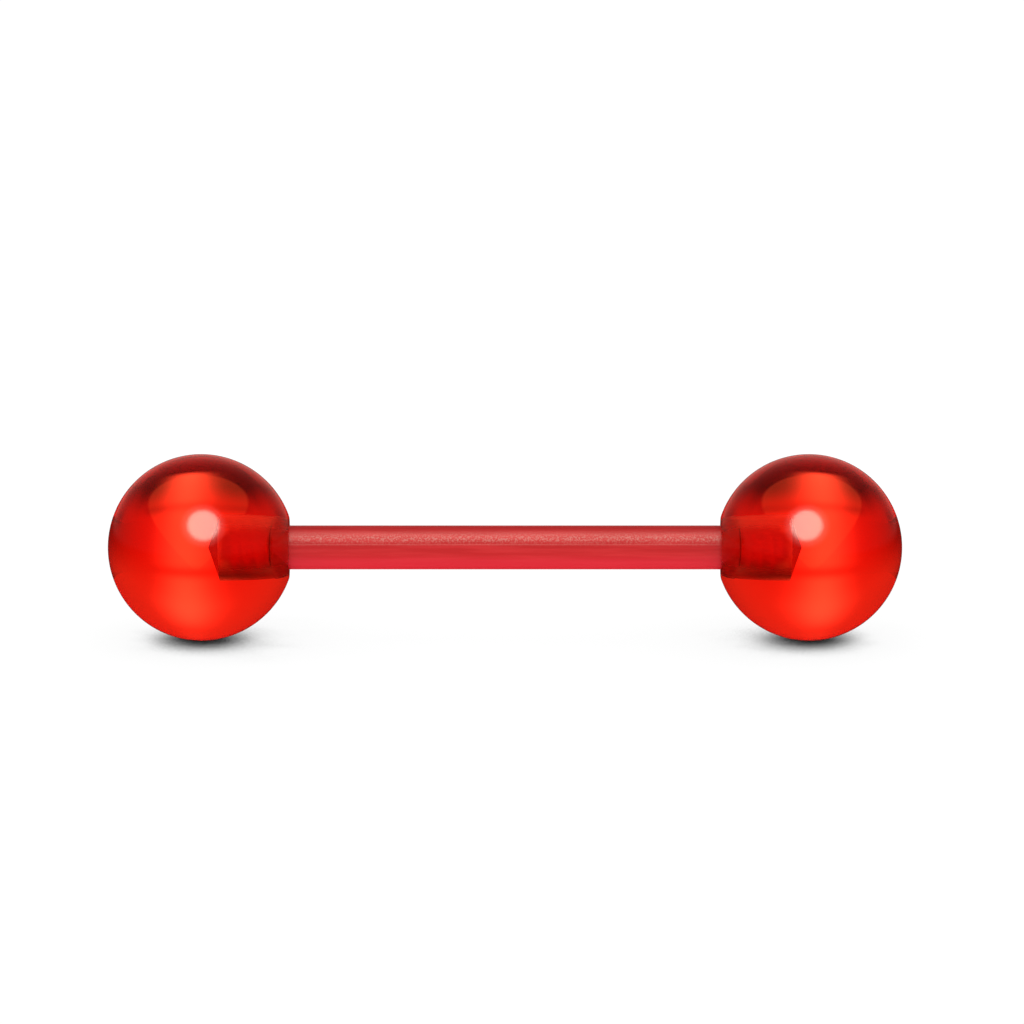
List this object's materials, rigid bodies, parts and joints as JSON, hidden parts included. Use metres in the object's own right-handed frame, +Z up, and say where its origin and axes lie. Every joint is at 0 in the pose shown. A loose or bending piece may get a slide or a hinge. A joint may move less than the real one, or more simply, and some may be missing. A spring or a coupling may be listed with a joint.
{
  "type": "tongue barbell",
  "caption": "Straight flexible bar with a clear ball screwed onto each end, worn through a pierced tongue.",
  "frame": {"origin": "on the surface that the barbell lies on, under the middle of the bar", "axes": "+X along the bar towards the right ball, +Z up, -Y towards the viewer"},
  "size_m": [0.029, 0.0068, 0.0068],
  "materials": {
    "ball_acrylic": "polished clear acrylic, tinted red right through",
    "bar_polymer": "satin, slightly milky flexible polymer, tinted the same red"
  },
  "bodies": {
    "bar": {"bar": "bar_polymer"},
    "left_ball": {"left_ball": "ball_acrylic"},
    "right_ball": {"right_ball": "ball_acrylic"}
  },
  "joints": [
    {"name": "left_ball_unscrew", "type": "slide", "parent": "bar", "child": "left_ball", "axis": [-1, 0, 0], "range_m": [0, 0.004]},
    {"name": "right_ball_unscrew", "type": "slide", "parent": "bar", "child": "right_ball", "axis": [1, 0, 0], "range_m": [0, 0.004]}
  ]
}
